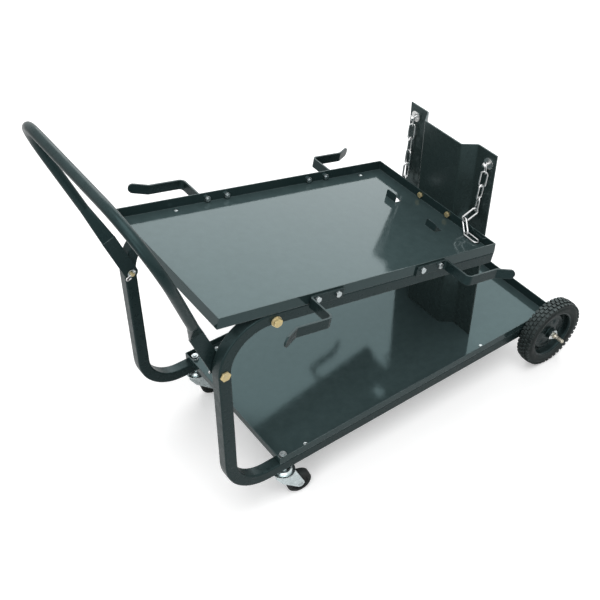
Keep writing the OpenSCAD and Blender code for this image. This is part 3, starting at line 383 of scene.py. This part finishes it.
RIM_STEPS = 120
RIM_LIP = [(64.0, 7.0), (64.2, 11.0), (65.0, 14.0), (66.6, 16.0), (68.6, 16.8), (69.9, 16.9)]
HUB_OUTER = [(8.2, 16.0), (8.9, 16.7), (13.4, 16.7), (14.6, 16.1),
             (15.0, 14.9), (15.0, 7.6), (15.5, 5.9), (16.6, 4.7)]
HUB_INNER = [(16.6, 0.2), (15.5, -0.9), (15.0, -2.6), (15.0, -19.2),
             (14.6, -20.2), (13.4, -20.7), (8.9, -20.7), (8.2, -20.0)]
WELL_OUTER = [(62.0, -2.4), (63.4, 0.8)]
WELL_INNER = [(62.6, -5.6)]
DISC_FROM, DISC_TO, DISC_STEP = 18.0, 60.0, 1.5
DISC_TOP, DISC_FALL = 4.0, 7.0
SHEET = 3.0
BEAD_RADIUS, BEAD_WIDTH, BEAD_HEIGHT = 52.0, 3.4, 2.2
DIMPLES, DIMPLE_RADIUS, DIMPLE_SIZE, DIMPLE_DEPTH = 5, 35.0, 10.0, 2.6


def disc_height(radius, angle):
    """How far out the pressed disc's outer face stands, with its round bead and its dimples."""
    fall = (radius - DISC_FROM) / (DISC_TO - DISC_FROM)
    bead = BEAD_HEIGHT * math.exp(-((radius - BEAD_RADIUS) / BEAD_WIDTH) ** 2)
    pitch = math.tau / DIMPLES
    aside = (angle + pitch / 2) % pitch - pitch / 2
    away = math.hypot(radius * math.cos(aside) - DIMPLE_RADIUS, radius * math.sin(aside))
    inside = max(0.0, 1.0 - away / DIMPLE_SIZE)
    dimple = DIMPLE_DEPTH * inside * inside * (3.0 - 2.0 * inside)
    return DISC_TOP - DISC_FALL * fall * fall + bead - dimple


def rim_section(angle):
    """The rim's closed section at one angle: from the bore over the disc to the lip, and back."""
    count = int((DISC_TO - DISC_FROM) / DISC_STEP) + 1
    radii = [DISC_FROM + DISC_STEP * index for index in range(count)]
    outer = [(radius, disc_height(radius, angle)) for radius in radii]
    inner = [(radius, height - SHEET) for radius, height in reversed(outer)]
    inner_lip = [(radius, -height) for radius, height in reversed(RIM_LIP)]
    return HUB_OUTER + outer + WELL_OUTER + RIM_LIP + inner_lip + WELL_INNER + inner + HUB_INNER


# Turned-down ends of the axle, past its split pins

AXLE_STEPS = 40
AXLE_TIP = [(0.4, 24.6), (6.0, 24.6), (6.0, 27.2), (5.2, 28.4), (5.2, 33.0), (4.6, 33.6), (4.6, 34.6),
            (5.2, 35.2), (5.2, 50.5), (4.9, 52.0), (4.0, 53.2), (2.6, 53.8), (0.4, 54.0)]


def axle_section(angle):
    """The axle's tip is round, so its closed section is the same at every angle."""
    return AXLE_TIP


for label, side in SIDES:
    middle = joint_middles["rear_wheel_" + label + "_spin"]
    rim = turned("pressed_rim_" + label, rim_section, middle, side, "rear_wheel_" + label,
                 "rim_paint", RIM_STEPS)
    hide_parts("rim_" + label)
    turned("axle_tip_" + label, axle_section, middle, side, "frame", "axle_steel", AXLE_STEPS)

# Pivot bolts with hexagon heads, measured outwards from the cart's middle

BOLT_STEPS = 60
HEAD_SEAT, HEAD_SIDE_TOP, HEAD_SHOULDER, HEAD_TOP = 216.05, 218.9, 219.8, 220.4
HEAD_CORNER, HEAD_ROUND, HEAD_BEVEL = 12.45, 11.9, 0.9
BOLT_SHANK = [(0.3, 173.5), (4.2, 173.5), (4.9, 174.3), (4.9, HEAD_SEAT)]
HEAD_DISH = [(7.0, HEAD_TOP), (6.4, 220.1), (0.3, 220.1)]
SIXTH = math.pi / 3


def hexagon_edge(reach, angle):
    """How far out a hexagon's edge is at an angle, where its corners are reach from its middle."""
    return reach * math.cos(SIXTH / 2) / math.cos(angle % SIXTH - SIXTH / 2)


def bolt_section(angle):
    """A bolt's closed section at one angle: a round shank, and a head with its corners turned off."""
    flat = hexagon_edge(HEAD_CORNER, angle)
    rounded = min(flat, HEAD_ROUND)
    head = [(flat, HEAD_SEAT), (flat, HEAD_SIDE_TOP),
            (rounded, HEAD_SHOULDER), (rounded - HEAD_BEVEL, HEAD_TOP)]
    return BOLT_SHANK + head + HEAD_DISH


for label, side in SIDES:
    bolt = turned("pivot_bolt_" + label, bolt_section, joint_middles["handle_fold"], side, "frame",
                  "yellow_zinc", BOLT_STEPS)
    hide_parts("pivot_pins")

# The studio is white to the camera and in reflections, and lights the cart more softly

WHITE = (1.0, 1.0, 1.0, 1.0)
STUDIO_LIGHT = 0.55

studio = Tree(bpy.data.worlds.new("studio"), "Background")
strength = studio.by_ray(STUDIO_LIGHT, ("Is Glossy Ray", "Is Camera Ray"))
bpy.context.scene.world = studio.finish({"Color": WHITE, "Strength": strength})

# The floor turns white away from the cart, so that no horizon shows in the low views

FLOOR_HALF = 14.0
FLOOR_LEVEL = -0.0005
FLOOR_GREY = (0.9, 0.9, 0.9, 1.0)
FLOOR_ROUGH = 0.9
FADE_DISTANCES = (1.2, 5.0)
FADE_GLOWS = (0.3, 1.0)

floor_corners = [(across * FLOOR_HALF, along * FLOOR_HALF, 0.0)
                 for across, along in ((-1, -1), (1, -1), (1, 1), (-1, 1))]
floor_mesh = bpy.data.meshes.new("studio_floor")
floor_mesh.from_pydata(floor_corners, [], [(0, 1, 2, 3)])
floor = bpy.data.objects.new("studio_floor", floor_mesh)
floor.location.z = FLOOR_LEVEL
bpy.context.scene.collection.objects.link(floor)

floor_tree = Tree(bpy.data.materials.new("studio_floor"))
away = floor_tree.add("ShaderNodeVectorMath", operation="LENGTH")
floor_tree.put(away.inputs[0], floor_tree.place)
fade = floor_tree.span(away.outputs["Value"], FADE_DISTANCES, FADE_GLOWS, "SMOOTHSTEP")
glow = floor_tree.times(floor_tree.by_ray(0.0, ("Is Camera Ray",)), fade)
floor_mesh.materials.append(floor_tree.finish({"Base Color": FLOOR_GREY, "Roughness": FLOOR_ROUGH,
                                               "Emission Color": WHITE, "Emission Strength": glow}))

# Lamps

LAMP_TARGET = Vector((0.0, 0.0, 0.4))


def lamp(name, place, size, power):
    """A panel of light that looks at the cart and that the camera doesn't see."""
    data = bpy.data.lights.new(name, "AREA")
    data.shape = "RECTANGLE"
    data.size, data.size_y = size
    data.energy = power
    made = bpy.data.objects.new(name, data)
    made.location = place
    made.rotation_euler = (LAMP_TARGET - Vector(place)).to_track_quat("-Z", "Y").to_euler()
    made.visible_camera = False
    bpy.context.scene.collection.objects.link(made)


lamp("back_panel", place=(2.3, 2.3, 2.4), size=(3.6, 2.6), power=74.0)
lamp("top_panel", place=(-0.6, -0.9, 3.2), size=(2.2, 2.2), power=50.0)
lamp("side_panel", place=(-2.6, -1.4, 1.5), size=(1.2, 1.8), power=18.0)
